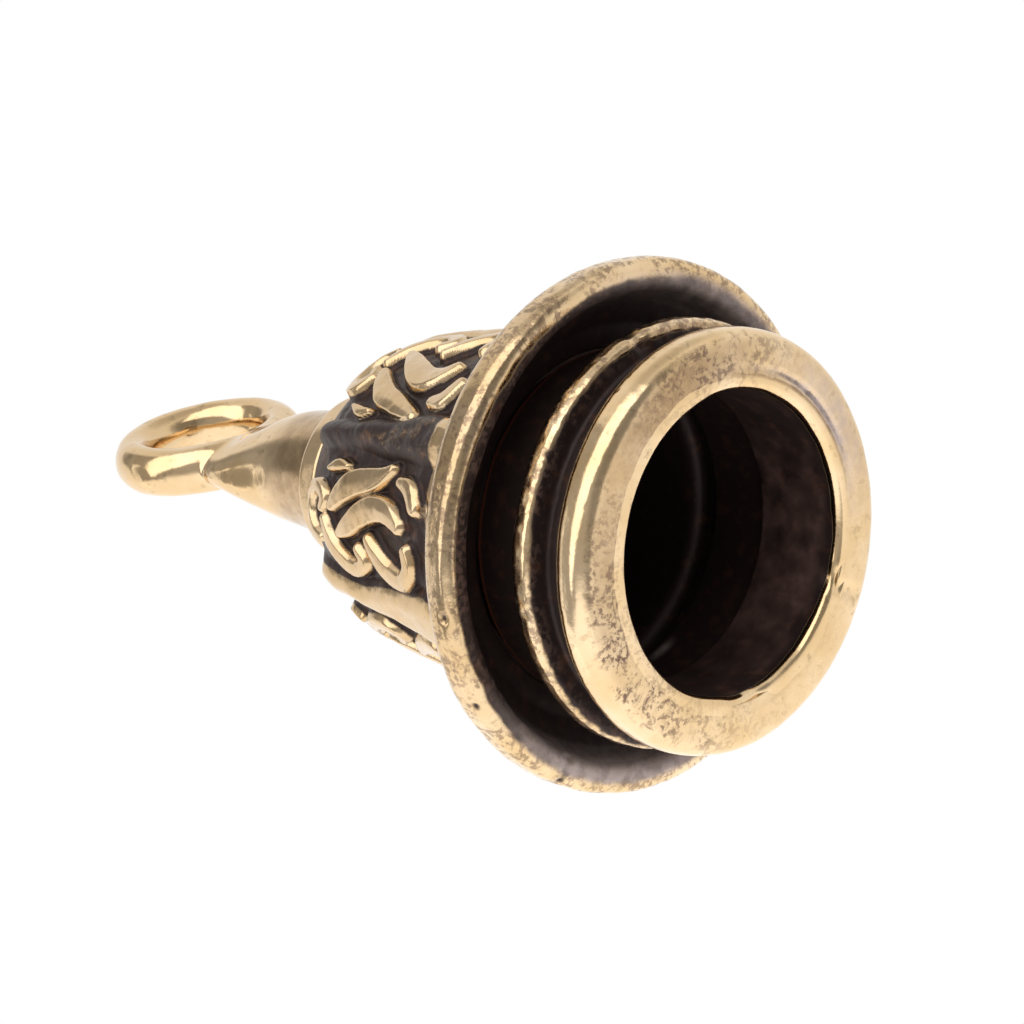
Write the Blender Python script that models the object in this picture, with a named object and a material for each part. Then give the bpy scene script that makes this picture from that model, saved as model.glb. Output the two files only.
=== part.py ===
"""Small bell-shaped prayer wheel charm that turns on a hanging eye.

Upright, +Z up.  The origin is at the centre of the mouth face, which the
charm stands on.  The eye at the top lies in the XZ plane.  All sizes below
are in millimetres and MM turns them into metres.
"""
import bpy
import bmesh
from math import cos, sin, pi, tan, atan2, hypot, radians

MM = 0.001

# ---- driving dimensions -------------------------------------------------
SEG = 48                 # facets round a turned piece
SEG_SMALL = 24           # facets round the pin, bush and washers
FIT = 0.03               # gap between pieces that are pressed together

BORE_R = 4.66            # mouth bore
SLEEVE_R = 5.30          # outside of the mouth sleeve
SLEEVE_TOP = 3.30

LIP_R = 6.54
LIP_TOP = 1.30

MID_R = 6.66             # thin ring above the lip
MID_HUB_R = 5.95
MID_LOW, MID_HIGH = 1.33, 3.26
MID_EDGE_LOW, MID_EDGE_HIGH = 2.12, 2.84

THROAT_IN_R, THROAT_R = 4.98, 5.46
THROAT_TOP = 5.62

CANOPY_R = 8.40
CANOPY_RIM_Z = 4.24      # middle of the rounded rim
CANOPY_RIM_HALF = 0.52   # half the rim's height
CANOPY_TOP = 6.36

DRUM_BOTTOM = CANOPY_TOP + FIT
DRUM_TOP = 16.45
DRUM_WALL_TOP = 15.20    # underside of the drum's top wall
DRUM_SEG = 72
LOBES = 6                # raised ornaments round the drum
LOBE_TURN = 13.0         # degrees from +X to the middle of the first one
RELIEF = 0.46            # height of the raised ornament
ORNAMENT_LOW, ORNAMENT_HIGH = 7.60, 16.20

COLLAR_R = 3.00
COLLAR_FOOT_R = 2.72
COLLAR_LOW, COLLAR_STEP, COLLAR_TOP = DRUM_TOP + FIT, 16.88, 17.70

HUB_HOLE_R = 1.28        # hole for the bush through drum and collar
BUSH_R = HUB_HOLE_R - FIT
BUSH_BORE_R = 0.85
BUSH_FLANGE_R = 1.90
BUSH_FLANGE_T = 0.22

PIN_R = 0.78             # runs in the bush with 0.07 clearance
PIN_HEAD_R = 1.50
PIN_HEAD_T = 0.80
PIN_TOP = 20.90

WASHER_T = 0.24
WASHER_R = 1.95
INNER_WASHER_R = 1.75
END_PLAY = 0.04

NECK_LOW = COLLAR_TOP + WASHER_T + 2 * END_PLAY
NECK_FOOT_R = 2.35
NECK_TOP = 24.60
EYE_Z = 26.75            # centre of the eye
EYE_Y = -0.15            # the eye leans a little off the axis
EYE_R = 2.80             # to the middle of its oval section
EYE_THICK = 0.75         # half thickness in the plane of the eye
EYE_DEEP = 0.90          # half thickness across that plane

# ---- materials ----------------------------------------------------------
FINISHES = {
    "polished_brass": ((0.74, 0.57, 0.31), 0.24),
    "aged_brass": ((0.48, 0.35, 0.19), 0.38),
    "patinated_brass": ((0.12, 0.08, 0.06), 0.50),
    "bearing_brass": ((0.62, 0.46, 0.22), 0.32),
}


def clear_file():
    for obj in list(bpy.data.objects):
        bpy.data.objects.remove(obj, do_unlink=True)


def make_materials():
    made = {}
    for name, (colour, rough) in FINISHES.items():
        mat = bpy.data.materials.new(name)
        mat.use_nodes = True
        bsdf = mat.node_tree.nodes["Principled BSDF"]
        bsdf.inputs["Base Color"].default_value = (*colour, 1.0)
        bsdf.inputs["Metallic"].default_value = 1.0
        bsdf.inputs["Roughness"].default_value = rough
        made[name] = mat
    return made


# ---- mesh helpers -------------------------------------------------------
def add_object(name, bm, material):
    bmesh.ops.recalc_face_normals(bm, faces=bm.faces)
    mesh = bpy.data.meshes.new(name)
    bm.to_mesh(mesh)
    bm.free()
    mesh.materials.append(material)
    obj = bpy.data.objects.new(name, mesh)
    bpy.context.scene.collection.objects.link(obj)
    mesh.shade_smooth()
    mesh.set_sharp_from_angle(angle=0.6)
    return obj


def rounded(corners, steps=4):
    """Closed (r, z) outline with each corner (r, z, radius) rounded off."""
    out = []
    count = len(corners)
    for i, (r, z, rad) in enumerate(corners):
        pr, pz = corners[i - 1][:2]
        nr, nz = corners[(i + 1) % count][:2]
        if rad <= 0.0:
            out.append((r, z))
            continue
        ar, az = pr - r, pz - z
        br, bz = nr - r, nz - z
        la, lb = hypot(ar, az), hypot(br, bz)
        ar, az, br, bz = ar / la, az / la, br / lb, bz / lb
        half = atan2(abs(ar * bz - az * br), ar * br + az * bz) / 2.0
        cut = min(rad / tan(half), 0.49 * la, 0.49 * lb)
        rad = cut * tan(half)
        mr, mz = ar + br, az + bz
        lm = hypot(mr, mz)
        cr = r + mr / lm * rad / sin(half)
        cz = z + mz / lm * rad / sin(half)
        a0 = atan2(z + az * cut - cz, r + ar * cut - cr)
        a1 = atan2(z + bz * cut - cz, r + br * cut - cr)
        turn = (a1 - a0 + pi) % (2 * pi) - pi
        for k in range(steps + 1):
            a = a0 + turn * k / steps
            out.append((cr + rad * cos(a), cz + rad * sin(a)))
    return out


def turned(name, outline, material, seg=SEG):
    """Revolve a closed (r, z) outline about Z.  Points at r = 0 are poles."""
    bm = bmesh.new()
    rings = []
    for r, z in outline:
        if r < 1e-6:
            rings.append([bm.verts.new((0, 0, z * MM))] * seg)
        else:
            rings.append([bm.verts.new((r * cos(2 * pi * k / seg) * MM,
                                        r * sin(2 * pi * k / seg) * MM,
                                        z * MM)) for k in range(seg)])
    for i, low in enumerate(rings):
        high = rings[(i + 1) % len(rings)]
        for k in range(seg):
            n = (k + 1) % seg
            quad = [low[k], low[n], high[n], high[k]]
            face = [v for j, v in enumerate(quad) if v is not quad[j - 1]]
            if len(face) > 2:
                bm.faces.new(face)
    return add_object(name, bm, material)


def smooth(t):
    t = min(max(t, 0.0), 1.0)
    return t * t * (3.0 - 2.0 * t)


def along(stops, x):
    """Value at x on straight runs between (x, value) stops."""
    if x <= stops[0][0]:
        return stops[0][1]
    for (x0, v0), (x1, v1) in zip(stops, stops[1:]):
        if x <= x1:
            return v0 + (v1 - v0) * (x - x0) / (x1 - x0)
    return stops[-1][1]


# ---- the wheel ----------------------------------------------------------
def mouth_sleeve(mat):
    return turned("mouth_sleeve", rounded([
        (BORE_R, 0.0, 0.22), (SLEEVE_R, 0.0, 0.22),
        (SLEEVE_R, SLEEVE_TOP, 0.0), (BORE_R, SLEEVE_TOP, 0.0),
    ], 3), mat)


def lip_ring(mat):
    inner = SLEEVE_R + FIT
    return turned("lip_ring", rounded([
        (inner, 0.0, 0.16), (LIP_R, 0.0, 0.80), (LIP_R, LIP_TOP, 0.50),
        (inner, LIP_TOP, 0.0),
    ], 4), mat)


def mid_ring(mat):
    inner = SLEEVE_R + FIT
    return turned("mid_ring", rounded([
        (inner, MID_LOW, 0.0), (MID_HUB_R, MID_LOW, 0.0),
        (MID_HUB_R, MID_EDGE_LOW, 0.0), (MID_R, MID_EDGE_LOW, 0.28),
        (MID_R, MID_EDGE_HIGH, 0.20), (MID_HUB_R, MID_EDGE_HIGH, 0.0),
        (MID_HUB_R, MID_HIGH, 0.0), (inner, MID_HIGH, 0.0),
    ], 3), mat)


def throat_ring(mat):
    low = SLEEVE_TOP + FIT
    return turned("throat_ring", rounded([
        (THROAT_IN_R, low, 0.0), (THROAT_R, low, 0.0),
        (THROAT_R, THROAT_TOP, 0.0), (THROAT_IN_R, THROAT_TOP, 0.0),
    ]), mat)


def canopy(mat):
    """Flared skirt of the wheel: a thick round rim and a dished underside."""
    z = CANOPY_RIM_Z
    inner = THROAT_R + FIT
    return turned("canopy", rounded([
        (inner, z + 1.42, 0.0), (6.35, z + 1.04, 0.0), (7.16, z + 0.36, 0.0),
        (7.55, z - CANOPY_RIM_HALF, 0.30), (CANOPY_R, z - CANOPY_RIM_HALF, 0.50),
        (CANOPY_R, z + CANOPY_RIM_HALF, 0.50), (7.10, z + 1.34, 0.9),
        (6.45, CANOPY_TOP, 0.0), (inner, CANOPY_TOP, 0.0),
    ], 3), mat)


DRUM_SKIN = [(DRUM_BOTTOM, 6.00), (8.0, 5.76), (9.0, 5.55), (10.0, 5.36),
             (11.0, 5.22), (12.0, 5.10), (13.0, 4.95), (14.0, 4.72),
             (15.0, 4.20), (15.8, 3.70), (16.2, 3.30), (DRUM_TOP, 2.85)]
DRUM_CAVITY = [(DRUM_BOTTOM, 5.02), (9.0, 4.88), (11.0, 4.60), (13.0, 4.20),
               (14.0, 3.80), (14.7, 3.10), (DRUM_WALL_TOP, 2.20)]


def relief(angle, z):
    """Raised ornament: soft leaves round the drum, fading out at both ends."""
    up = (z - ORNAMENT_LOW) / (ORNAMENT_HIGH - ORNAMENT_LOW)
    if not 0.0 < up < 1.0:
        return 0.0
    ends = smooth(up / 0.15) * smooth((1.0 - up) / 0.30)
    return RELIEF * ends * (0.65 + 0.35 * cos(LOBES * (angle - radians(LOBE_TURN))))


def drum_shell(mat):
    bm = bmesh.new()
    rows = 16
    span = DRUM_TOP - DRUM_BOTTOM

    def ring(r_at, z):
        return [bm.verts.new((r_at(2 * pi * k / DRUM_SEG) * cos(2 * pi * k / DRUM_SEG) * MM,
                              r_at(2 * pi * k / DRUM_SEG) * sin(2 * pi * k / DRUM_SEG) * MM,
                              z * MM)) for k in range(DRUM_SEG)]

    rings = []
    for i in range(rows + 1):
        z = DRUM_BOTTOM + span * (1.0 - (1.0 - i / rows) ** 1.25)
        skin = along(DRUM_SKIN, z)
        rings.append(ring(lambda a: skin + relief(a, z), z))
    rings.append(ring(lambda a: HUB_HOLE_R, DRUM_TOP))
    rings.append(ring(lambda a: HUB_HOLE_R, DRUM_WALL_TOP))
    for z, r in reversed(DRUM_CAVITY):
        rings.append(ring(lambda a: r, z))
    for i, low in enumerate(rings):
        high = rings[(i + 1) % len(rings)]
        for k in range(DRUM_SEG):
            n = (k + 1) % DRUM_SEG
            bm.faces.new((low[k], low[n], high[n], high[k]))
    return add_object("drum_shell", bm, mat)


def crown_collar(mat):
    return turned("crown_collar", rounded([
        (HUB_HOLE_R, COLLAR_LOW, 0.0), (COLLAR_FOOT_R, COLLAR_LOW, 0.0),
        (COLLAR_FOOT_R, COLLAR_STEP, 0.0), (COLLAR_R, COLLAR_STEP, 0.16),
        (COLLAR_R, COLLAR_TOP, 0.22), (HUB_HOLE_R, COLLAR_TOP, 0.0),
    ], 3), mat)


def bearing_bush(mat):
    flange_top = DRUM_WALL_TOP - FIT
    flange_low = flange_top - BUSH_FLANGE_T
    return turned("bearing_bush", rounded([
        (BUSH_BORE_R, flange_low, 0.0), (BUSH_FLANGE_R, flange_low, 0.0),
        (BUSH_FLANGE_R, flange_top, 0.0), (BUSH_R, flange_top, 0.0),
        (BUSH_R, COLLAR_TOP, 0.0), (BUSH_BORE_R, COLLAR_TOP, 0.0),
    ]), mat, SEG_SMALL)


# ---- the hanger ---------------------------------------------------------
def inner_washer(mat):
    top = DRUM_WALL_TOP - FIT - BUSH_FLANGE_T - END_PLAY
    return turned("inner_washer", rounded([
        (BUSH_BORE_R, top - WASHER_T, 0.0), (INNER_WASHER_R, top - WASHER_T, 0.0),
        (INNER_WASHER_R, top, 0.0), (BUSH_BORE_R, top, 0.0),
    ]), mat, SEG_SMALL)


def thrust_washer(mat):
    low = COLLAR_TOP + END_PLAY
    return turned("thrust_washer", rounded([
        (BUSH_BORE_R, low, 0.0), (WASHER_R, low, 0.0),
        (WASHER_R, low + WASHER_T, 0.0), (BUSH_BORE_R, low + WASHER_T, 0.0),
    ]), mat, SEG_SMALL)


def spindle_pin(mat):
    """Pin pressed into the neck, its lower end peened into a domed head."""
    seat = DRUM_WALL_TOP - FIT - BUSH_FLANGE_T - 2 * END_PLAY - WASHER_T
    low = seat - PIN_HEAD_T
    return turned("spindle_pin", rounded([
        (0.0, low, 0.0), (PIN_HEAD_R, low, 0.55), (PIN_HEAD_R, seat, 0.0),
        (PIN_R, seat, 0.0), (PIN_R, PIN_TOP, 0.0), (0.0, PIN_TOP, 0.0),
    ]), mat, SEG_SMALL)


NECK_WIDE = [(NECK_LOW, NECK_FOOT_R), (18.6, 2.30), (19.6, 2.22), (20.6, 2.19),
             (21.6, 2.24), (22.6, 2.34), (23.4, 2.40), (24.0, 2.38), (NECK_TOP, 2.20)]
NECK_DEEP = [(NECK_LOW, NECK_FOOT_R), (18.6, 2.30), (19.6, 2.18), (20.6, 2.04),
             (21.6, 1.78), (22.6, 1.40), (23.4, 1.08), (24.0, 0.92), (NECK_TOP, 0.78)]


def hanging_eye(mat):
    """Flared neck that runs into a round eye, with a blind hole for the pin."""
    bm = bmesh.new()
    seg = SEG_SMALL

    def ring(a, b, z):
        lean = EYE_Y * smooth((z - PIN_TOP) / (NECK_TOP - PIN_TOP))
        return [bm.verts.new((a * cos(2 * pi * k / seg) * MM,
                              (b * sin(2 * pi * k / seg) + lean) * MM, z * MM)) for k in range(seg)]

    hole = PIN_R + FIT / 2
    rings = [ring(a, b, z) for (z, a), (_, b) in zip(NECK_WIDE, NECK_DEEP)]
    bore = [ring(hole, hole, NECK_LOW), ring(hole, hole, PIN_TOP + 0.1)]
    for low, high in list(zip(rings, rings[1:])) + [(bore[0], rings[0]), tuple(bore)]:
        for k in range(seg):
            n = (k + 1) % seg
            bm.faces.new((low[k], low[n], high[n], high[k]))
    bm.faces.new(rings[-1])
    bm.faces.new(bore[1])
    neck = add_object("hanging_eye", bm, mat)

    bm = bmesh.new()
    around, across = 36, 12
    loops = []
    for i in range(around):
        u = 2 * pi * i / around
        loops.append([bm.verts.new((
            (EYE_R + EYE_THICK * cos(2 * pi * j / across)) * cos(u) * MM,
            (EYE_Y + EYE_DEEP * sin(2 * pi * j / across)) * MM,
            (EYE_Z + (EYE_R + EYE_THICK * cos(2 * pi * j / across)) * sin(u)) * MM))
            for j in range(across)])
    for i, one in enumerate(loops):
        two = loops[(i + 1) % around]
        for j in range(across):
            n = (j + 1) % across
            bm.faces.new((one[j], one[n], two[n], two[j]))
    tool = add_object("eye_round", bm, mat)

    join = neck.modifiers.new("eye", "BOOLEAN")
    join.operation = "UNION"
    join.solver = "EXACT"
    join.object = tool
    tool.hide_render = True
    tool.display_type = "WIRE"
    return neck


def main():
    clear_file()
    mats = make_materials()
    polished, aged = mats["polished_brass"], mats["aged_brass"]
    dark, bearing = mats["patinated_brass"], mats["bearing_brass"]
    lip_ring(polished)
    mouth_sleeve(aged)
    mid_ring(polished)
    throat_ring(dark)
    canopy(polished)
    drum_shell(aged)
    crown_collar(polished)
    bearing_bush(bearing)
    inner_washer(bearing)
    thrust_washer(bearing)
    spindle_pin(bearing)
    hanging_eye(polished)


main()
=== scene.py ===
import math
import bpy
import numpy as np
from mathutils import Matrix, Vector


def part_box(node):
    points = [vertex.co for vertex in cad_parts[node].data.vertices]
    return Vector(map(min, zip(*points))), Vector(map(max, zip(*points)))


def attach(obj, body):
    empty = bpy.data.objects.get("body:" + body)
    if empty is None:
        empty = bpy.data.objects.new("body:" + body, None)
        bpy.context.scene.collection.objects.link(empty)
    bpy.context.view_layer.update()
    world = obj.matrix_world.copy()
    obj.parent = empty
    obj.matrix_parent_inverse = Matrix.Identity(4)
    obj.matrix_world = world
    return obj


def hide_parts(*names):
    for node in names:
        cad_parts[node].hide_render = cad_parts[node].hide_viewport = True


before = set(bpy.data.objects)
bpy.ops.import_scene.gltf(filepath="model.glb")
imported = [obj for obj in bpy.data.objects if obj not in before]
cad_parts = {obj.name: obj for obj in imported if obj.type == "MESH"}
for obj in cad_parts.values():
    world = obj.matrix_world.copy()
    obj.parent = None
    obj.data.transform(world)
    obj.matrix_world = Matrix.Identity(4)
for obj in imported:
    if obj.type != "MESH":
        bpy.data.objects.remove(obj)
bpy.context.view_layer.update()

MM = 0.001

# ---- camera -------------------------------------------------------------
CAMERA_AZIMUTH = -62.0
CAMERA_ELEVATION = -46.62
CAMERA_ROLL = 79.56
CAMERA_AWAY = 85.1
CAMERA_AIM = (-0.117, 0.221, 9.97)
CAMERA_LENS = 91.4
FRONT = CAMERA_AZIMUTH - 90.0      # direction, from +X, of the side facing the camera

# ---- repeated ornament --------------------------------------------------
LOBES = 6
PITCH = 360.0 / LOBES
MOTIF_AT = -15.0                   # middle of the scroll that faces the camera


def span(node):
    """Outer radius, low z and high z of a CAD node, in millimetres."""
    low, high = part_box(node)
    return high[0] / MM, low[2] / MM, high[2] / MM


LIP_R, _, LIP_TOP = span("lip_ring")
SLEEVE_R, _, SLEEVE_TOP = span("mouth_sleeve")
MID_R, MID_LOW, MID_TOP = span("mid_ring")
THROAT_R, THROAT_LOW, THROAT_TOP = span("throat_ring")
CANOPY_R, CANOPY_LOW, CANOPY_TOP = span("canopy")
_, DRUM_LOW, DRUM_TOP = span("drum_shell")
COLLAR_R, COLLAR_LOW, COLLAR_TOP = span("crown_collar")
_, EYE_LOW, EYE_TOP = span("hanging_eye")
BORE_R = 4.66                      # of the mouth sleeve
THROAT_BORE_R = 4.98
HUB_HOLE_R = 1.28                  # through the collar and the drum's top
PRESS_GAP = 0.03                   # between pieces that are pressed together
BLEND_R = 5.36                     # where the lip's face meets the sleeve's end
MID_HUB_R = 5.90
COLLAR_FOOT_R = 2.70

# ---- fineness of the castings: spacing along the outline, points around ---
MOUTH_STEP, MOUTH_AROUND = 0.045, 540
MID_STEP, MID_AROUND = 0.05, 480
THROAT_STEP, THROAT_AROUND = 0.07, 360
CANOPY_STEP, CANOPY_AROUND = 0.055, 600
DRUM_STEP, CAVITY_STEP, DRUM_AROUND = 0.055, 0.5, 640
COLLAR_STEP, COLLAR_AROUND = 0.06, 240


# ---- repeatable noise ---------------------------------------------------
def lattice(ix, iy, iz, seed):
    """A fixed pseudo-random number from -1 to 1 for each whole-number point."""
    n = (ix * 73856093) ^ (iy * 19349663) ^ (iz * 83492791) ^ (seed * 2654435761)
    n = ((n ^ (n >> 13)) * 1274126177) & 0x7FFFFFFF
    n = ((n ^ (n >> 15)) * 747796405) & 0x7FFFFFFF
    return ((n >> 7) & 0xFFFF) / 32767.5 - 1.0


def noise(p, size, seed=0, octaves=1):
    """Smooth noise from about -1 to 1 with features of the given size."""
    total, weight = 0.0, 1.0
    for octave in range(octaves):
        q = p / (size * 0.5 ** octave) + 31.7 * (seed + octave)
        cell = np.floor(q).astype(np.int64)
        f = q - cell
        f = f * f * f * (f * (f * 6.0 - 15.0) + 10.0)
        value = 0.0
        for dx in (0, 1):
            for dy in (0, 1):
                for dz in (0, 1):
                    w = (np.where(dx, f[..., 0], 1 - f[..., 0])
                         * np.where(dy, f[..., 1], 1 - f[..., 1])
                         * np.where(dz, f[..., 2], 1 - f[..., 2]))
                    value = value + w * lattice(cell[..., 0] + dx, cell[..., 1] + dy,
                                                cell[..., 2] + dz, seed + octave)
        total = total + value * weight
        weight *= 0.5
    return total


def pits(p, spacing, radius, share, seed):
    """0 on clean metal, rising to 1 in the middle of scattered round pits."""
    q = p / spacing
    base = np.floor(q).astype(np.int64)
    best = np.zeros(p.shape[:-1])
    for dx in (-1, 0, 1):
        for dy in (-1, 0, 1):
            for dz in (-1, 0, 1):
                c = base + np.array([dx, dy, dz])
                jitter = np.stack([lattice(c[..., 0], c[..., 1], c[..., 2], seed + k) * 0.45 + 0.5
                                   for k in range(3)], -1)
                here = lattice(c[..., 0], c[..., 1], c[..., 2], seed + 3) * 0.5 + 0.5 < share
                size = radius * (0.75 + 0.5 * jitter[..., 0])
                gap = np.linalg.norm((c + jitter - q) * spacing, axis=-1)
                best = np.maximum(best, np.where(here, smooth(1.0 - gap / size), 0.0))
    return best


def smooth(t):
    """Smooth step from 0 at t = 0 to 1 at t = 1."""
    t = np.clip(t, 0.0, 1.0)
    return t * t * (3.0 - 2.0 * t)


def turn_from(deg, centre):
    """Degrees from the centre angle, from -180 to 180."""
    return (deg - centre + 180.0) % 360.0 - 180.0


def hump(deg, centre, half):
    """1 at the centre angle, falling smoothly to 0 at half degrees from it."""
    return smooth(1.0 - np.abs(turn_from(deg, centre)) / half)


# ---- outlines -----------------------------------------------------------
def fillet(corners, steps=10):
    """(r, z) outline with each corner (r, z, radius) rounded off by a parabola."""
    out = []
    count = len(corners)
    for i, (r, z, rad) in enumerate(corners):
        here = np.array([r, z])
        a = np.array(corners[i - 1][:2]) - here
        b = np.array(corners[(i + 1) % count][:2]) - here
        if rad <= 0.0:
            out.append(here)
            continue
        la, lb = np.linalg.norm(a), np.linalg.norm(b)
        a, b = a / la, b / lb
        half = math.acos(np.clip(a @ b, -1, 1)) / 2
        cut = min(rad / math.tan(half), 0.49 * la, 0.49 * lb)
        start, stop = here + a * cut, here + b * cut
        for k in range(steps + 1):
            t = k / steps
            out.append((1 - t) ** 2 * start + 2 * t * (1 - t) * here + t * t * stop)
    return np.array(out)


def even(points, step, closed=False):
    """Points spaced evenly along a polyline; the end point is left off."""
    points = np.asarray(points, float)
    if closed:
        points = np.vstack([points, points[:1]])
    s = np.concatenate([[0], np.cumsum(np.linalg.norm(np.diff(points, axis=0), axis=1))])
    n = max(2, int(round(s[-1] / step)))
    t = np.linspace(0, s[-1], n + 1)[:-1]
    return np.stack([np.interp(t, s, points[:, 0]), np.interp(t, s, points[:, 1])], 1)


def curve(points, n=12):
    """Catmull-Rom curve through the points, whatever their dimension."""
    p = np.asarray(points, float)
    p = np.vstack([2 * p[0] - p[1], p, 2 * p[-1] - p[-2]])
    t = np.linspace(0, 1, n, endpoint=False)[:, None]
    out = []
    for a, b, c, d in zip(p, p[1:], p[2:], p[3:]):
        out.append(0.5 * (2 * b + (c - a) * t + (2 * a - 5 * b + 4 * c - d) * t ** 2
                          + (3 * b - a - 3 * c + d) * t ** 3))
    return np.vstack(out + [p[-2:-1]])


# ---- meshes -------------------------------------------------------------
def add_mesh(name, verts, faces, masks=None):
    """New smooth-shaded mesh object with one float attribute for each mask."""
    mesh = bpy.data.meshes.new(name)
    mesh.from_pydata(verts, [], faces)
    for key, values in (masks or {}).items():
        layer = mesh.attributes.new(key, "FLOAT", "POINT")
        layer.data.foreach_set("value", np.asarray(values, np.float32).ravel())
    mesh.update()
    mesh.shade_smooth()
    obj = bpy.data.objects.new(name, mesh)
    bpy.context.scene.collection.objects.link(obj)
    return obj


def turned(name, rows, seg, shape):
    """Revolve a closed (r, z) outline and let shape() push and mask its surface.

    shape(deg, r, z, p) gets the angle from the camera's side, the outline's r
    and z and the points in millimetres, and returns the push along the normal
    and a dictionary of masks.
    """
    rows = np.asarray(rows, float)
    tangent = np.roll(rows, -1, 0) - np.roll(rows, 1, 0)
    normal = np.stack([tangent[:, 1], -tangent[:, 0]], 1)
    normal /= np.linalg.norm(normal, axis=1)[:, None] + 1e-12
    area = np.sum(rows[:, 0] * np.roll(rows[:, 1], -1) - np.roll(rows[:, 0], -1) * rows[:, 1])
    if area < 0:
        normal = -normal
    turn = np.linspace(0, 2 * math.pi, seg, endpoint=False)
    r, z = rows[:, :1] + 0 * turn, rows[:, 1:] + 0 * turn
    p = np.stack([r * np.cos(turn), r * np.sin(turn), z], -1)
    deg = (np.degrees(turn) - FRONT + 180.0) % 360.0 - 180.0 + 0 * r
    push, masks = shape(deg, r, z, p)
    r = r + push * normal[:, :1]
    z = z + push * normal[:, 1:]
    verts = np.stack([r * np.cos(turn), r * np.sin(turn), z], -1).reshape(-1, 3) * MM
    i = np.arange(len(rows))[:, None]
    k = np.arange(seg)[None, :]
    i2, k2 = (i + 1) % len(rows), (k + 1) % seg
    quads = np.stack([i * seg + k, i * seg + k2, i2 * seg + k2, i2 * seg + k], -1).reshape(-1, 4)
    if area < 0:
        quads = quads[:, ::-1]
    return add_mesh(name, verts.tolist(), quads.tolist(), masks)


def fit(piece, body, slot, *nodes):
    """Let a piece ride on a body and stand for CAD nodes, which it hides; slot is not used."""
    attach(piece, body)
    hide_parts(*nodes)
    return piece


# ---- materials ----------------------------------------------------------
class Tree:
    """Short names for building one material's node tree."""

    def __init__(self, name):
        self.mat = bpy.data.materials.new(name)
        self.mat.use_nodes = True
        self.nodes = self.mat.node_tree.nodes
        self.links = self.mat.node_tree.links
        self.bsdf = self.nodes["Principled BSDF"]
        self.place = self.nodes.new("ShaderNodeTexCoord").outputs["Object"]

    def link(self, source, socket):
        if isinstance(source, (int, float)):
            socket.default_value = source
        elif isinstance(source, tuple):
            socket.default_value = (*source, 1.0)
        else:
            self.links.new(source, socket)

    def mask(self, name):
        node = self.nodes.new("ShaderNodeAttribute")
        node.attribute_name = name
        return node.outputs["Fac"]

    def noise(self, size, detail=3.0, rough=0.55, warp=0.0):
        node = self.nodes.new("ShaderNodeTexNoise")
        node.inputs["Scale"].default_value = 1.0 / (size * MM)
        node.inputs["Detail"].default_value = detail
        node.inputs["Roughness"].default_value = rough
        node.inputs["Distortion"].default_value = warp
        self.links.new(self.place, node.inputs["Vector"])
        return node.outputs["Fac"]

    def math(self, operation, a, b=0.0, clamp=False):
        node = self.nodes.new("ShaderNodeMath")
        node.operation, node.use_clamp = operation, clamp
        self.link(a, node.inputs[0])
        self.link(b, node.inputs[1])
        return node.outputs[0]

    def ramp(self, value, low, high, to_low=0.0, to_high=1.0):
        node = self.nodes.new("ShaderNodeMapRange")
        node.interpolation_type = "SMOOTHSTEP"
        self.link(value, node.inputs["Value"])
        for socket, number in zip(("From Min", "From Max", "To Min", "To Max"),
                                  (low, high, to_low, to_high)):
            node.inputs[socket].default_value = number
        return node.outputs["Result"]

    def mix(self, factor, a, b):
        node = self.nodes.new("ShaderNodeMix")
        node.data_type = "RGBA"
        self.link(factor, node.inputs["Factor"])
        self.link(a, node.inputs["A"])
        self.link(b, node.inputs["B"])
        return node.outputs["Result"]

    def bump(self, height, depth, strength=1.0, after=None):
        node = self.nodes.new("ShaderNodeBump")
        node.inputs["Distance"].default_value = depth * MM
        node.inputs["Strength"].default_value = strength
        self.link(height, node.inputs["Height"])
        if after is not None:
            self.links.new(after, node.inputs["Normal"])
        return node.outputs["Normal"]


PALE = (0.84, 0.64, 0.41)          # rubbed brass
GOLD = (0.74, 0.53, 0.29)
OLIVE = (0.38, 0.28, 0.15)         # patches in rubbed brass
TARNISH_AND_SHADE = (0.34, 0.225, 0.125)     # dull brown brass; on the lip's face also a painted dark reflection
BLOOM_AND_SHEEN = (0.44, 0.36, 0.345)         # pale tint on the patina: a painted sheen and glint, and a mottled tint in the bore
UMBER = (0.034, 0.022, 0.020)      # patina
RUST = (0.080, 0.036, 0.024)
SPOT = (0.15, 0.09, 0.07)          # stains
COPPER = (0.20, 0.055, 0.030)
PATINA_METALLIC, PATINA_ROUGH, PATINA_GLOSS = 0.35, 0.42, 0.25


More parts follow.
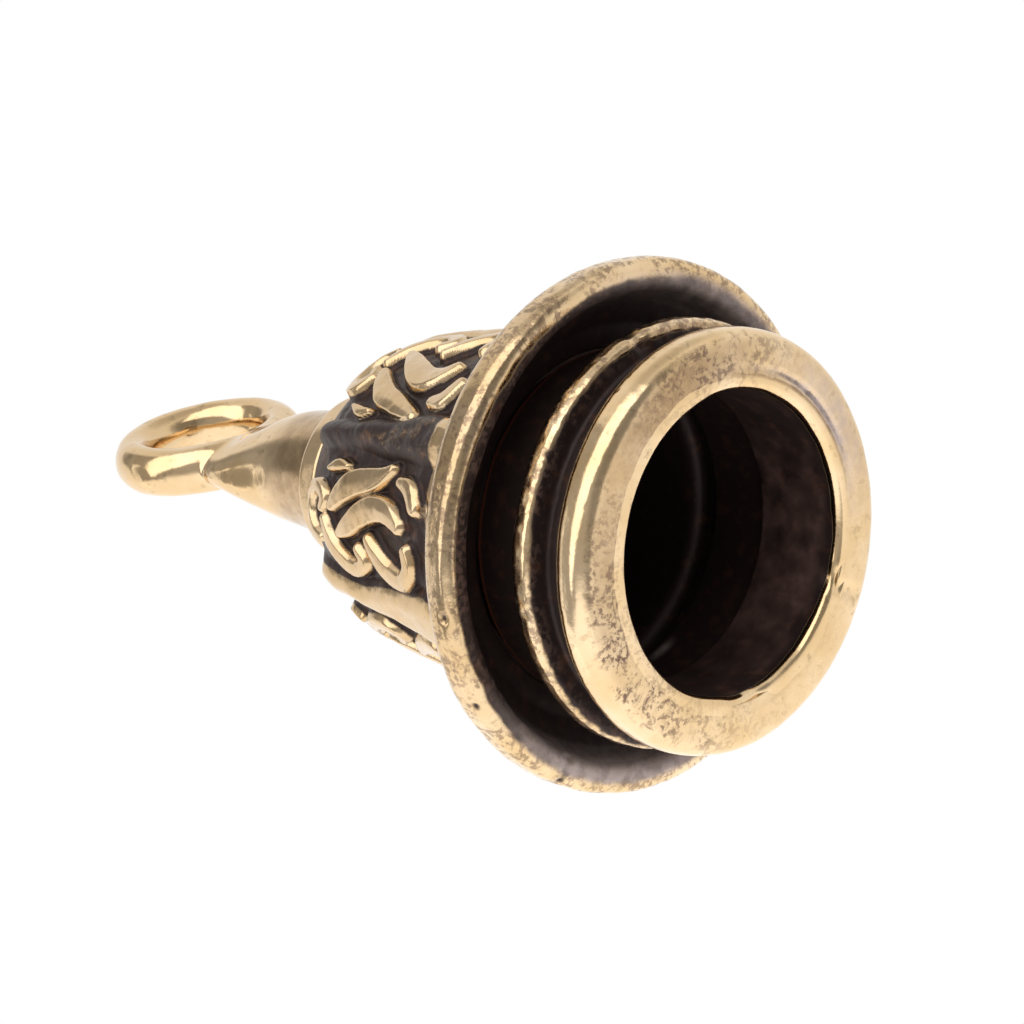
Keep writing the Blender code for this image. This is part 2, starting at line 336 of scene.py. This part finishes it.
def antique_brass(name, wear=0.0, ragged=0.35, blotches=0.0, rough=0.12, grain=0.5,
                  edge=(0.30, 0.62), tarnish_and_shade=0.0):
    """Cast brass: polished where rubbed, near-black patina where it is not.

    The mesh's masks say where metal is rubbed clean, where it is tarnished darker
    (on the lip's face that darkening is a painted dark reflection), where it is stained
    and coppery, and where a pale tint lies on the patina: a painted sheen, and a
    painted glint in the throat.  wear shifts the clean mask, ragged breaks up its
    edge, edge sets how sharp that edge is, blotches scatters brown stains, rough and
    grain are those of rubbed metal, and the last argument tarnishes all of it evenly.
    """
    t = Tree(name)
    broad = t.noise(2.6, 4.0)
    middle = t.noise(0.55, 5.0, 0.62)
    fine = t.noise(0.09, 3.0, 0.6)
    clean = t.math("ADD", t.mask("clean"), wear)
    for speckle, share in ((middle, 2.0), (fine, 1.2), (broad, 1.0)):
        off_middle = t.math("SUBTRACT", speckle, 0.5)
        clean = t.math("ADD", clean, t.math("MULTIPLY", off_middle, ragged * share))
    clean = t.ramp(clean, *edge)
    if blotches > 0.0:
        stain = t.math("MULTIPLY", t.ramp(t.noise(0.9, 5.0, 0.7, 0.6), 0.41, 0.55),
                       t.ramp(t.noise(0.20, 4.0, 0.6), 0.44, 0.56))
        stain = t.math("MULTIPLY", stain, t.mask("stain"))
        stain = t.math("MULTIPLY", stain, blotches)
    metal = t.mix(t.ramp(broad, 0.35, 0.65), GOLD, PALE)
    metal = t.mix(t.ramp(middle, 0.30, 0.44, 0.55, 0.0), metal, OLIVE)
    dark = t.math("ADD", t.mask("tarnish_and_shade"), tarnish_and_shade)
    dark = t.math("MULTIPLY", dark, t.ramp(middle, 0.35, 0.65, 0.75, 1.15), clamp=True)
    metal = t.mix(dark, metal, TARNISH_AND_SHADE)
    patina = t.mix(t.ramp(middle, 0.50, 0.72), UMBER, RUST)
    base = t.mix(clean, patina, metal)
    if blotches > 0.0:
        base = t.mix(stain, base, SPOT)
    base = t.mix(t.mask("copper"), base, COPPER)
    # Pale tint laid over the patina: a painted sheen and glint, and a mottled tint in the bore.
    bloom_and_sheen_mix = t.math("MULTIPLY", t.mask("bloom_and_sheen"), t.ramp(middle, 0.3, 0.7, 0.5, 1.1))
    base = t.mix(bloom_and_sheen_mix, base, BLOOM_AND_SHEEN)
    t.link(base, t.bsdf.inputs["Base Color"])
    t.link(t.ramp(clean, 0.0, 1.0, PATINA_METALLIC, 1.0), t.bsdf.inputs["Metallic"])
    t.bsdf.inputs["Specular IOR Level"].default_value = PATINA_GLOSS
    dull = t.math("MULTIPLY", t.ramp(fine, 0.35, 0.75), 0.07)
    polish = t.math("ADD", t.ramp(clean, 0.0, 1.0, PATINA_ROUGH, rough), dull)
    if blotches > 0.0:
        polish = t.math("ADD", polish, t.math("MULTIPLY", stain, 0.25))
    t.link(polish, t.bsdf.inputs["Roughness"])
    normal = t.bump(middle, 0.018, grain)
    normal = t.bump(fine, 0.004, grain, normal)
    t.link(normal, t.bsdf.inputs["Normal"])
    return t.mat


def machined_brass(name):
    """Turned bearing brass, lightly mottled."""
    t = Tree(name)
    fine = t.noise(0.12, 3.0)
    t.link(t.mix(t.ramp(fine, 0.3, 0.7), GOLD, OLIVE), t.bsdf.inputs["Base Color"])
    t.bsdf.inputs["Metallic"].default_value = 1.0
    t.link(t.ramp(fine, 0.2, 0.8, 0.26, 0.44), t.bsdf.inputs["Roughness"])
    t.link(t.bump(fine, 0.01, 0.4), t.bsdf.inputs["Normal"])
    return t.mat


# ---- the mouth ----------------------------------------------------------
def stain_zone(deg):
    """How strongly the front of the mouth is stained and pitted at each angle."""
    return np.maximum(hump(deg, -48, 82), 0.8 * hump(deg, 62, 52))


def face_groove(deg, r):
    """Shallow tarnished groove round the upper part of the mouth's face."""
    return hump(deg, 116, 62) * smooth(1 - np.abs(r - 5.32) / 0.24)


def lip(material):
    inner = 4.95                   # a thin wedge of the lip runs over the sleeve's end
    outline = fillet([(inner, 0.05, 0.0), (BLEND_R, 0.0, 0.30), (LIP_R - 0.02, 0.05, 0.95),
                      (LIP_R, LIP_TOP, 0.50), (inner, LIP_TOP, 0.0)], 14)
    rows = even(outline, MOUTH_STEP, closed=True)

    def shape(deg, r, z, p):
        near = smooth(1 - (z - 0.5) / 0.5)
        push = 0.020 * noise(p, 2.6, 3, 2) + 0.004 * noise(p, 0.35, 4, 2)
        push = push - 0.06 * hump(deg, 188, 4) * smooth((6.3 - r) / 0.6)
        holes = pits(p, 0.36, 0.085, 0.20, 40) * stain_zone(deg)
        groove = face_groove(deg, r) * near
        wander = 0.02 * noise(p, 0.8, 5)
        crack = hump(deg, -27, 17) * smooth(1 - np.abs(r - BLEND_R - wander) / 0.035)
        push = push - 0.040 * holes - 0.10 * groove - 0.03 * crack * near
        back = smooth((z - 0.85) / 0.35)
        clean = 0.95 - 0.80 * back - 0.72 * groove - 0.7 * crack * near - 0.60 * holes
        stain = near * (0.10 + 0.90 * stain_zone(deg)) * smooth((6.42 - r) / 0.25)
        face = near * smooth((6.40 - r) / 0.5)
        # The face's left and upper left are painted darker with dull brown brass: a painted dark
        # reflection.
        tarnish_and_shade = face * np.maximum(0.85 * hump(deg, 45, 68), 0.55 * hump(deg, -12, 60))
        # Paler tint at the face's upper right and in the groove: a painted sheen on the patina.
        bloom_and_sheen = face * 0.60 * hump(deg, 128, 45) + 0.45 * groove
        return push, {"clean": clean, "stain": stain, "tarnish_and_shade": tarnish_and_shade, "bloom_and_sheen": bloom_and_sheen}

    piece = turned("lip_ring_cast", rows, MOUTH_AROUND, shape)
    piece.data.materials.append(material)
    return fit(piece, "wheel", "polished_brass", "lip_ring")


def sleeve(material):
    outline = fillet([(BORE_R, 0.02, 0.34), (SLEEVE_R, 0.02, 0.0), (SLEEVE_R, SLEEVE_TOP, 0.05),
                      (BORE_R, SLEEVE_TOP, 0.12)], 12)
    rows = even(outline, MOUTH_STEP, closed=True)

    def shape(deg, r, z, p):
        inside = smooth((SLEEVE_R - r) / 0.25)
        front = smooth((0.6 - z) / 0.4)
        wave = noise(p, 0.9, 6, 2)
        push = 0.018 * noise(p, 1.6, 7, 3) * inside + 0.020 * noise(p, 2.6, 3, 2) * front
        push = push - front * inside * (0.20 * hump(deg, -112, 16) * (0.7 + 0.6 * wave)
                                        + 0.10 * hump(deg, 186, 7))
        groove = face_groove(deg, r) * front
        push = push - 0.10 * groove
        tarnish_and_shade = hump(deg, 112, 70) * smooth((r - 5.00) / 0.12) * front
        clean = 0.04 + 0.94 * smooth((0.40 - z + 0.05 * wave) / 0.16) - 0.72 * groove
        mottle = 0.08 + 0.10 * noise(p, 0.7, 9, 3)
        bloom_and_sheen = mottle * hump(deg, 178, 100) * smooth((z - 0.4) / 0.4)
        stain = smooth((0.4 - z) / 0.3) * 0.45 * stain_zone(deg)
        return push, {"clean": clean, "stain": stain, "tarnish_and_shade": tarnish_and_shade, "copper": 1.6 * bloom_and_sheen,
                      "bloom_and_sheen": np.maximum(bloom_and_sheen, 0.45 * groove)}

    piece = turned("mouth_sleeve_cast", rows, MOUTH_AROUND, shape)
    piece.data.materials.append(material)
    return fit(piece, "wheel", "aged_brass", "mouth_sleeve")


def mid_ring(material):
    inner = SLEEVE_R + PRESS_GAP
    hub = MID_HUB_R
    low, high = 2.12, 2.84         # of the thin rim
    outline = fillet([(inner, MID_LOW, 0.0), (hub, MID_LOW, 0.1), (hub - 0.05, low, 0.18),
                      (MID_R - 0.02, low + 0.03, 0.30), (MID_R, high, 0.22),
                      (hub, high + 0.05, 0.18), (hub, MID_TOP, 0.0), (inner, MID_TOP, 0.0)], 8)
    rows = even(outline, MID_STEP, closed=True)

    def shape(deg, r, z, p):
        rim = smooth((r - hub) / 0.5)
        push = 0.016 * noise(p, 1.4, 12, 2) + 0.012 * noise(p, 0.3, 13, 2)
        push = push - 0.10 * hump(deg, 57, 4) * rim - 0.05 * pits(p, 0.5, 0.10, 0.16, 50)
        edge = 6.39 - 0.18 * hump(deg, 75, 60) + 0.07 * noise(p, 0.45, 14, 3)
        clean = 0.02 + 0.90 * smooth((r - edge) / 0.26) - 0.5 * pits(p, 0.6, 0.16, 0.2, 54)
        tarnish_and_shade = 0.75 * smooth((6.60 - r) / 0.12)
        return push * smooth((r - inner) / 0.2), {"clean": clean, "stain": rim, "tarnish_and_shade": tarnish_and_shade}

    piece = turned("mid_ring_cast", rows, MID_AROUND, shape)
    piece.data.materials.append(material)
    return fit(piece, "wheel", "polished_brass", "mid_ring")


# ---- the canopy ---------------------------------------------------------
def throat(material):
    top = THROAT_TOP
    outline = fillet([(THROAT_BORE_R, THROAT_LOW, 0.06), (THROAT_R, THROAT_LOW, 0.08),
                      (THROAT_R, top, 0.0), (THROAT_BORE_R, top, 0.05)], 4)
    rows = even(outline, THROAT_STEP, closed=True)

    def shape(deg, r, z, p):
        joint = smooth((r - 5.3) / 0.1) * smooth(1 - np.abs(z - top + 0.10) / 0.10)
        push = 0.012 * noise(p, 0.9, 20, 2)
        # A painted glint: a small pale patch on the inner wall.
        painted_glint = hump(deg, -131, 9) * smooth(1 - np.abs(z - 5.30) / 0.32) * smooth((5.1 - r) / 0.1)
        return push, {"clean": 0.02 + 0 * z, "copper": joint, "bloom_and_sheen": painted_glint}

    piece = turned("throat_ring_cast", rows, THROAT_AROUND, shape)
    piece.data.materials.append(material)
    return fit(piece, "wheel", "patinated_brass", "throat_ring")


CANOPY_HOLES = ((-47, 3.95, 2.0), (-26, 4.05, 1.4), (-78, 3.85, 2.0), (-84, 4.3, 1.8))


def canopy(material):
    inner = THROAT_R + PRESS_GAP
    low, high = CANOPY_LOW, 4.76
    outline = fillet([(inner, 5.66, 0.05), (6.30, 5.34, 0.6), (7.12, 4.60, 0.5),
                      (7.50, low, 0.42), (CANOPY_R, low, 0.62), (CANOPY_R, high, 0.62),
                      (7.30, 5.42, 1.2), (6.50, 5.72, 0.5), (6.38, CANOPY_TOP, 0.16),
                      (inner, CANOPY_TOP, 0.0)], 12)
    rows = even(outline, CANOPY_STEP, closed=True)

    def shape(deg, r, z, p):
        rim = smooth((r - 7.0) / 0.5)
        push = 0.045 * noise(p, 3.0, 25, 2) * rim + 0.008 * noise(p, 0.4, 26, 2)
        push = push + 0.03 * hump(deg, -80, 26) * noise(p, 0.9, 27) * rim
        hole = pits(p, 1.1, 0.15, 0.10, 60)
        for at, at_z, across in CANOPY_HOLES:
            round_it = hump(deg, at, across) * smooth(1 - np.abs(z - at_z) / 0.22)
            hole = np.maximum(hole, round_it * rim)
        push = push - 0.10 * hole * rim
        under = np.interp(r, (inner, 6.30, 7.12, 7.50, CANOPY_R), (5.66, 5.34, 4.60, 4.05, 4.05))
        under = smooth((under + 0.40 - z) / 0.15)
        wide = np.maximum(hump(deg, 100, 62), hump(deg, -92, 48))
        edge = 7.86 - 0.22 * hump(deg, 48, 55) - 0.38 * wide + 0.05 * noise(p, 0.6, 28, 2)
        clean = 0.95 * smooth((r - edge) / (0.32 + 0.50 * wide)) * under
        clean = clean + (1 - under) * (0.35 + 0.4 * rim) - 0.8 * hole
        clean = clean * smooth((r - inner - 0.15) / 0.3)
        # Pale bands at the top and bottom of the rim, over the patina: a painted sheen.
        bloom_and_sheen = np.maximum(0.55 * hump(deg, 100, 62), 1.3 * hump(deg, -90, 50))
        bloom_and_sheen = bloom_and_sheen * smooth((r - 6.9) / 0.6) * smooth((8.15 - r) / 0.3) * under
        tarnish_and_shade = 0.45 * hump(deg, 5, 80) + 0.35 * hump(deg, 95, 45) * smooth((8.2 - r) / 0.2)
        return push * smooth((r - inner) / 0.2), {"clean": clean, "stain": rim, "tarnish_and_shade": tarnish_and_shade,
                                                  "bloom_and_sheen": bloom_and_sheen}

    piece = turned("canopy_cast", rows, CANOPY_AROUND, shape)
    piece.data.materials.append(material)
    return fit(piece, "wheel", "polished_brass", "canopy")


# ---- the drum -----------------------------------------------------------
# Outlines as (r, z): the smooth skin under the ornament, and the inside.
DRUM_SKIN = [(6.00, DRUM_LOW), (5.76, 8.0), (5.55, 9.0), (5.38, 10.0), (5.26, 11.0),
             (5.14, 12.0), (4.99, 13.0), (4.74, 14.0), (4.24, 15.0), (3.74, 15.75),
             (3.25, 16.2), (2.85, DRUM_TOP)]
DRUM_CAVITY = [(HUB_HOLE_R, DRUM_TOP), (HUB_HOLE_R, 15.2), (2.2, 15.2), (3.1, 14.7), (3.8, 14.0),
               (4.2, 13.0), (4.6, 11.0), (4.88, 9.0), (5.02, DRUM_LOW), (5.96, DRUM_LOW)]

ORNAMENT_R = 5.6                   # radius at which the ornament's x is measured
SCROLL_HIGH, SCROLL_CROWN, LOBE_HIGH = 0.36, 0.05, 0.42
OUTSIDE = -9.0                     # far outside any stroke

# Width of each scroll round the drum; width and brightness of the lobe after it.
SCROLL_WIDTHS = (0.92, 1.15, 1.00, 1.00, 1.00, 0.95)
LOBE_WIDTHS = (0.75, 0.62, 0.72, 0.72, 0.72, 1.00)
LOBE_SHEEN = (0.30, 0.90, 0.85, 0.90, 0.85, 0.96)

# Strokes of the cloud scroll: (x, z, half width), x along the surface from the
# scroll's middle, positive towards growing angle.
SCROLL = (
    ((-1.05, 13.70, 0.24), (-0.90, 14.25, 0.34), (-0.15, 14.62, 0.38), (0.62, 14.40, 0.36),
     (0.92, 13.80, 0.33), (0.55, 13.35, 0.28), (0.10, 13.50, 0.22)),
    ((-0.30, 13.40, 0.24), (-1.05, 13.10, 0.35), (-1.62, 12.50, 0.40), (-1.80, 11.75, 0.38),
     (-1.42, 11.20, 0.32), (-0.98, 11.45, 0.24)),
    ((0.30, 12.85, 0.26), (0.80, 12.40, 0.42), (1.25, 11.75, 0.52), (1.50, 11.00, 0.50),
     (1.75, 10.20, 0.38), (1.98, 9.60, 0.24)),
    ((-0.60, 12.45, 0.24), (-0.25, 11.90, 0.40), (0.25, 11.15, 0.50), (0.58, 10.35, 0.52),
     (0.55, 9.60, 0.42), (0.22, 8.95, 0.30)),
    ((-0.55, 10.75, 0.24), (-1.05, 10.35, 0.36), (-1.55, 9.75, 0.44), (-1.68, 9.00, 0.40),
     (-1.20, 8.45, 0.36), (-0.55, 8.50, 0.28)),
    ((1.55, 8.90, 0.26), (1.45, 8.35, 0.36), (0.95, 7.95, 0.30)),
    ((1.72, 13.10, 0.18), (1.90, 12.60, 0.28), (1.88, 12.05, 0.18)),
)
LOBE = ((0.0, 14.70, 0.80), (0.0, 14.10, 0.86), (0.0, 13.20, 0.76), (0.0, 12.20, 0.78),
        (0.0, 11.00, 0.92), (0.0, 9.60, 1.10), (0.0, 8.20, 1.20), (0.0, 7.40, 1.10))


def inside_of(stroke, x, z, stretch=1.0):
    """How far each point is inside a tapered stroke, in millimetres."""
    best = np.full(x.shape, OUTSIDE)
    for cx, cz, half in curve(stroke, 9):
        best = np.maximum(best, half - np.hypot(x - stretch * cx, z - cz))
    return best


def relief(deg, z, p):
    """Raised ornament: height and how much of it is rubbed clean."""
    wander = 0.10 * noise(p, 1.3, 30)
    height = np.zeros(z.shape)
    bright = np.zeros(z.shape)
    for k in range(LOBES):
        stretch = SCROLL_WIDTHS[k] * (1.0 if k % 2 == 0 else -1.0)
        off = turn_from(deg, MOTIF_AT + PITCH * k)
        near = np.abs(off) < PITCH * 0.5 + 6.0
        x = np.radians(off[near]) * ORNAMENT_R + wander[near]
        lifted = z[near] + 0.06 * noise(p[near], 0.9, 31)
        scroll = np.full(z.shape, OUTSIDE)
        scroll[near] = 0.08 + np.max([inside_of(s, x, lifted, stretch) for s in SCROLL], axis=0)
        top = SCROLL_HIGH * smooth(scroll / 0.22) + SCROLL_CROWN * smooth(scroll / 0.6)
        height = np.maximum(height, top)
        bright = np.maximum(bright, smooth((scroll - 0.03) / 0.16))

        off = turn_from(deg, MOTIF_AT + PITCH * (k + 0.5))
        near = np.abs(off) < PITCH * 0.4
        x = np.radians(off[near]) * ORNAMENT_R + wander[near]
        lobe = np.full(z.shape, OUTSIDE)
        lobe[near] = inside_of(LOBE, x / LOBE_WIDTHS[k], z[near])
        height = np.maximum(height, LOBE_HIGH * np.sin(0.5 * math.pi * np.clip(lobe / 0.80, 0, 1)))
        bright = np.maximum(bright, smooth((lobe - 0.08) / 0.40) * LOBE_SHEEN[k])
    return height, bright


def drum(material):
    skin = even(curve(DRUM_SKIN, 12), DRUM_STEP)
    rows = np.vstack([skin, even(DRUM_CAVITY, CAVITY_STEP), [DRUM_CAVITY[-1]]])

    def shape(deg, r, z, p):
        outer = np.zeros(z.shape)
        outer[:len(skin)] = 1.0
        height, bright = relief(deg, z, p)
        ends = smooth((z - DRUM_LOW) / 0.5) * smooth((15.5 - z) / 1.2)
        ground = 0.05 * noise(p, 0.7, 33, 3)
        push = (height + ground * (1 - bright) + 0.012 * noise(p, 0.5, 34, 2)) * ends * outer
        base = smooth((7.9 - z) / 0.5) * 0.7
        clean = np.maximum(bright, base) * outer
        return push, {"clean": 0.02 + 0.95 * clean}

    piece = turned("drum_cast", rows, DRUM_AROUND, shape)
    piece.data.materials.append(material)
    return fit(piece, "wheel", "aged_brass", "drum_shell")


def collar(material):
    foot = COLLAR_FOOT_R
    outline = fillet([(HUB_HOLE_R, COLLAR_LOW, 0.0), (foot, COLLAR_LOW, 0.05),
                      (foot, 16.64, 0.08), (COLLAR_R - 0.02, 16.70, 0.24),
                      (COLLAR_R, COLLAR_TOP, 0.30), (HUB_HOLE_R, COLLAR_TOP, 0.0)], 8)
    rows = even(outline, COLLAR_STEP, closed=True)

    def shape(deg, r, z, p):
        rim = smooth((r - foot) / 0.2)
        push = (0.022 * noise(p, 1.5, 36, 2)) * rim
        return push, {"clean": 0.05 + 0.75 * rim}

    piece = turned("crown_collar_cast", rows, COLLAR_AROUND, shape)
    piece.data.materials.append(material)
    return fit(piece, "wheel", "polished_brass", "crown_collar")


# ---- the hanging eye ----------------------------------------------------
# Neck sections as (z, half width, half depth).
NECK = [(EYE_LOW, 2.35, 2.35), (18.6, 2.30, 2.30), (19.6, 2.22, 2.18), (20.6, 2.19, 2.04),
        (21.6, 2.24, 1.78), (22.6, 2.34, 1.40), (23.4, 2.40, 1.08), (24.0, 2.38, 0.92),
        (24.6, 2.20, 0.78)]
EYE_MID_R, EYE_THICK, EYE_DEEP, EYE_Y = 2.80, 0.75, 0.90, -0.15
LEAN_FROM, LEAN_OVER = 20.9, 3.7   # where the neck bends over to the eye's plane
EYE_VOXEL = 0.1


def ovals(rings, close):
    """Vertices and faces of stacked rings of points, capped or joined up."""
    n = len(rings[0])
    faces = []
    for i in range(len(rings) - (0 if close else 1)):
        j = (i + 1) % len(rings)
        faces += [(i * n + k, i * n + (k + 1) % n, j * n + (k + 1) % n, j * n + k)
                  for k in range(n)]
    if not close:
        faces += [tuple(range(n))[::-1], tuple(range((len(rings) - 1) * n, len(rings) * n))]
    return np.concatenate(rings), faces


def eye(material):
    """Neck and eye blended into one casting by a fine remesh, then smoothed."""
    around = np.linspace(0, 2 * math.pi, 64, endpoint=False)
    rings = []
    for z, wide, deep in curve(NECK, 6):
        lean = EYE_Y * float(smooth((z - LEAN_FROM) / LEAN_OVER))
        rings.append(np.stack([wide * np.cos(around), deep * np.sin(around) + lean,
                               z + 0 * around], 1))
    neck_verts, neck_faces = ovals(rings, False)
    tube = np.linspace(0, 2 * math.pi, 32, endpoint=False)
    rings = []
    centre = EYE_TOP - EYE_MID_R - EYE_THICK
    for u in np.linspace(0, 2 * math.pi, 96, endpoint=False):
        reach = EYE_MID_R + EYE_THICK * np.cos(tube)
        rings.append(np.stack([reach * math.cos(u), EYE_Y + EYE_DEEP * np.sin(tube),
                               centre + reach * math.sin(u)], 1))
    eye_verts, eye_faces = ovals(rings, True)
    shift = len(neck_verts)
    verts = np.vstack([neck_verts, eye_verts])
    faces = neck_faces + [tuple(i + shift for i in f) for f in eye_faces]
    rough = add_mesh("eye_rough", verts.tolist(), faces)
    remesh = rough.modifiers.new("remesh", "REMESH")
    remesh.mode, remesh.voxel_size = "VOXEL", EYE_VOXEL
    even_out = rough.modifiers.new("smooth", "SMOOTH")
    even_out.factor, even_out.iterations = 0.5, 6
    finer = rough.modifiers.new("finer", "SUBSURF")
    finer.levels = finer.render_levels = 1
    depsgraph = bpy.context.evaluated_depsgraph_get()
    made = bpy.data.meshes.new_from_object(rough.evaluated_get(depsgraph))
    bpy.data.objects.remove(rough, do_unlink=True)
    p = np.empty(len(made.vertices) * 3)
    made.vertices.foreach_get("co", p)
    n = np.empty(len(made.vertices) * 3)
    made.vertices.foreach_get("normal", n)
    p, n = p.reshape(-1, 3), n.reshape(-1, 3)
    push = 0.022 * noise(p, 1.6, 37, 2) + 0.005 * noise(p, 0.4, 38)
    push = push * smooth((p[:, 2] - EYE_LOW) / 0.4)
    p = (p + n * push[:, None]) * MM
    made.vertices.foreach_set("co", p.ravel())
    made.name = "hanging_eye_cast"
    foot = smooth((21.2 - p[:, 2] / MM) / 1.6)
    for key, value in (("clean", 0.95 + 0 * foot), ("tarnish_and_shade", 0.15 + 0.60 * foot)):
        layer = made.attributes.new(key, "FLOAT", "POINT")
        layer.data.foreach_set("value", value.astype(np.float32))
    made.update()
    made.shade_smooth()
    made.materials.clear()
    made.materials.append(material)
    piece = bpy.data.objects.new("hanging_eye_cast", made)
    bpy.context.scene.collection.objects.link(piece)
    return fit(piece, "hanger", "polished_brass", "hanging_eye")


# ---- camera, floor and light --------------------------------------------
def view_direction(azimuth, elevation):
    """Unit vector from the charm towards a camera at these angles."""
    a, e = math.radians(azimuth), math.radians(elevation)
    return Vector((math.sin(a) * math.cos(e), -math.cos(a) * math.cos(e), math.sin(e)))


def make_camera():
    """Camera at the set angles; returns its axes as a 3x3 matrix."""
    back = view_direction(CAMERA_AZIMUTH, CAMERA_ELEVATION)
    data = bpy.data.cameras.new("camera")
    data.lens, data.sensor_width = CAMERA_LENS, 36.0
    data.clip_start, data.clip_end = 0.001, 10.0
    cam = bpy.data.objects.new("camera", data)
    bpy.context.scene.collection.objects.link(cam)
    turn = (-back).to_track_quat("-Z", "Y").to_matrix().to_4x4()
    turn = turn @ Matrix.Rotation(math.radians(-CAMERA_ROLL), 4, "Z")
    cam.matrix_world = Matrix.Translation((Vector(CAMERA_AIM) + back * CAMERA_AWAY) * MM) @ turn
    bpy.context.scene.camera = cam
    return turn.to_3x3()


def make_floor():
    """Pale paper, in metres, far enough below not to show in views from below."""
    size, drop = 2.0, -0.20
    mesh = bpy.data.meshes.new("floor")
    mesh.from_pydata([(-size, -size, drop), (size, -size, drop), (size, size, drop),
                      (-size, size, drop)], [], [(0, 1, 2, 3)])
    floor = bpy.data.objects.new("floor", mesh)
    bpy.context.scene.collection.objects.link(floor)
    mat = bpy.data.materials.new("floor_paper")
    mat.use_nodes = True
    bsdf = mat.node_tree.nodes["Principled BSDF"]
    bsdf.inputs["Base Color"].default_value = (0.93, 0.93, 0.93, 1)
    bsdf.inputs["Roughness"].default_value = 0.9
    mesh.materials.append(mat)
    floor.visible_glossy = False
    floor.visible_diffuse = False
    floor.visible_shadow = False


# Lights and dark cards round the charm, laid over each other in this order.  Each
# is a level, a softness and the half-spaces (right, up, backward, offset) that a
# direction in the camera's own axes, fixed at the start, has to lie in.
TENT = 1.0
CARDS = (
    (1.40, 0.50, ((0.0, -1.0, 0.0, -0.25),)),                            # table below
    (0.60, 0.15, ((0.0, 1.0, 0.0, -0.90),)),                             # open top
    (0.36, 0.03, ((-0.894, 0.342, -0.29, -0.945),)),                     # dim card, upper left
    (0.44, 0.05, ((-1.0, 0.0, 0.0, -0.70), (0.0, 0.0, 1.0, 0.30),
                  (0.0, 1.0, 0.0, 0.55))),                               # card on the left
    (1.80, 0.03, ((-0.114, -0.305, 0.945, 0.045), (0.114, 0.305, -0.945, 0.0),
                  (-1.0, 0.0, 0.0, -0.6), (0.0, -1.0, 0.0, 0.20))),      # thin gap of light
    (0.50, 0.12, ((0.0, 0.0, 1.0, -0.50), (0.0, 1.0, 0.0, 0.45))),       # camera side
    (0.30, 0.12, ((0.55, 0.35, 0.75, -0.86),)),                          # dark card by the lens
    (2.00, 0.05, ((-0.476, 0.775, -0.416, 0.0), (0.13, 0.07, 0.99, -0.08),
                  (-0.508, -0.609, 0.609, 0.27))),                       # softbox
)


def make_world(turn):
    """White tent with the cards above; the camera itself sees plain white."""
    world = bpy.data.worlds.new("tent")
    bpy.context.scene.world = world
    world.use_nodes = True
    nodes, links = world.node_tree.nodes, world.node_tree.links
    back = nodes["Background"]
    coord = nodes.new("ShaderNodeTexCoord").outputs["Generated"]

    def side(plane, soft):
        """1 on the inner side of a plane through the middle of the tent, else 0."""
        dot = nodes.new("ShaderNodeVectorMath")
        dot.operation = "DOT_PRODUCT"
        links.new(coord, dot.inputs[0])
        dot.inputs[1].default_value = turn @ Vector(plane[:3])
        ramp = nodes.new("ShaderNodeMapRange")
        ramp.interpolation_type = "SMOOTHSTEP"
        links.new(dot.outputs["Value"], ramp.inputs["Value"])
        ramp.inputs["From Min"].default_value = -plane[3] - soft
        ramp.inputs["From Max"].default_value = -plane[3] + soft
        return ramp.outputs["Result"]

    level = None
    for bright, soft, planes in CARDS:
        inside = None
        for plane in planes:
            one = side(plane, soft)
            if inside is not None:
                both = nodes.new("ShaderNodeMath")
                both.operation = "MULTIPLY"
                links.new(inside, both.inputs[0])
                links.new(one, both.inputs[1])
                one = both.outputs[0]
            inside = one
        blend = nodes.new("ShaderNodeMix")
        blend.data_type = "FLOAT"
        links.new(inside, blend.inputs["Factor"])
        blend.inputs["B"].default_value = bright
        if level is None:
            blend.inputs["A"].default_value = TENT
        else:
            links.new(level, blend.inputs["A"])
        level = blend.outputs["Result"]
    links.new(level, back.inputs["Strength"])
    back.inputs["Color"].default_value = (1.0, 0.985, 0.96, 1)
    white = nodes.new("ShaderNodeBackground")
    white.inputs["Color"].default_value = (1, 1, 1, 1)
    pick = nodes.new("ShaderNodeMixShader")
    links.new(nodes.new("ShaderNodeLightPath").outputs["Is Camera Ray"], pick.inputs[0])
    links.new(back.outputs[0], pick.inputs[1])
    links.new(white.outputs[0], pick.inputs[2])
    links.new(pick.outputs[0], nodes["World Output"].inputs["Surface"])


# ---- build --------------------------------------------------------------
turn = make_camera()
make_floor()
make_world(turn)
bpy.context.scene.view_settings.view_transform = "Standard"

face_brass = antique_brass("face_brass", wear=0.05, ragged=0.20, blotches=0.9, rough=0.12)
rim_brass = antique_brass("rim_brass", ragged=0.16, blotches=0.6, rough=0.10, edge=(0.20, 0.80))
relief_brass = antique_brass("relief_brass", ragged=0.22, rough=0.14, tarnish_and_shade=0.35)
clean_brass = antique_brass("clean_brass", wear=0.15, ragged=0.10, rough=0.10, grain=0.3)
bearing = machined_brass("bearing_brass_turned")

lip(face_brass)
sleeve(face_brass)
mid_ring(rim_brass)
throat(relief_brass)
canopy(rim_brass)
drum(relief_brass)
collar(relief_brass)
eye(clean_brass)
for node in ("spindle_pin", "thrust_washer", "inner_washer", "bearing_bush"):
    for place in bpy.data.objects[node].material_slots:
        place.material = bearing
